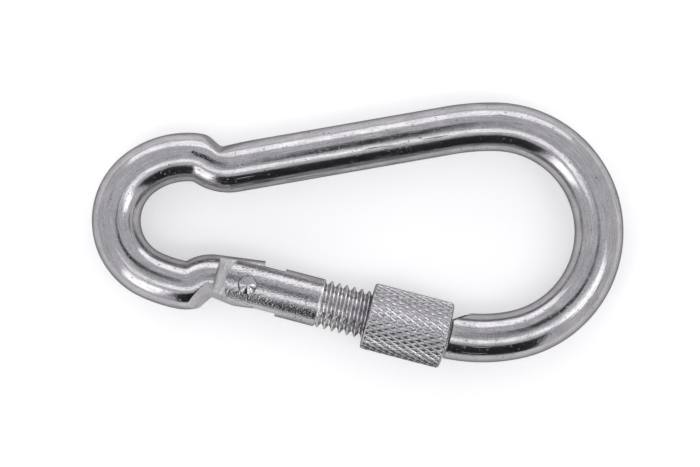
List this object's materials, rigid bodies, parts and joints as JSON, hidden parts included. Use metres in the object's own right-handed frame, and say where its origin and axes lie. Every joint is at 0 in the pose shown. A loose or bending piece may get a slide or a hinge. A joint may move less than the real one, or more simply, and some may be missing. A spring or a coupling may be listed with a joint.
{
  "type": "locking carabiner",
  "caption": "Steel snap hook with a sprung hinged gate and a knurled screw nut that locks the gate to the nose.",
  "frame": {"origin": "centre of the whole hook, in the middle plane of its bar", "axes": "+X along the hook towards the large bow, +Y across the loop from the gate to the spine, +Z square to the loop"},
  "size_m": [0.1201, 0.0599, 0.0152],
  "materials": {
    "plated_steel": "bright zinc plate, lightly worn",
    "plated_gate": "bright zinc plate over turned steel",
    "rivet_steel": "bright steel",
    "nut_steel": "bright zinc plate, knurled",
    "spring_steel": "drawn spring wire"
  },
  "bodies": {
    "hook": {"hook": "plated_steel"},
    "gate": {"gate": "plated_gate", "hinge_rivet": "rivet_steel"},
    "coil": {"gate_spring": "spring_steel"},
    "nut": {"lock_nut": "nut_steel"},
    "plunger": {"spring_plunger": "rivet_steel"}
  },
  "joints": [
    {"name": "gate_open", "type": "hinge", "parent": "hook", "child": "gate", "pos_m": [-0.0246, -0.0113, 0], "axis": [0, 0, 1], "range_deg": [0, 22], "stiffness_Nm_per_rad": 0.4, "springref_deg": -28.65},
    {"name": "nut_turn", "type": "hinge", "parent": "gate", "child": "coil", "pos_m": [-0.0246, -0.0113, 0], "axis": [0.9677, -0.2521, 0], "range_deg": [-1801, 0]},
    {"name": "nut_travel", "type": "slide", "parent": "coil", "child": "nut", "axis": [0.9677, -0.2521, 0], "range_m": [-0.00875, 0]},
    {"name": "plunger_slide", "type": "slide", "parent": "gate", "child": "plunger", "axis": [0.9677, -0.2521, 0], "range_m": [0, 0.00113], "deforming": ["gate_spring"]}
  ],
  "couplings": [
    {"joint": "nut_turn", "follows": "nut_travel", "rad_per_m": 3590.4},
    {"joint": "plunger_slide", "follows": "gate_open", "m_per_rad": 0.00292}
  ]
}
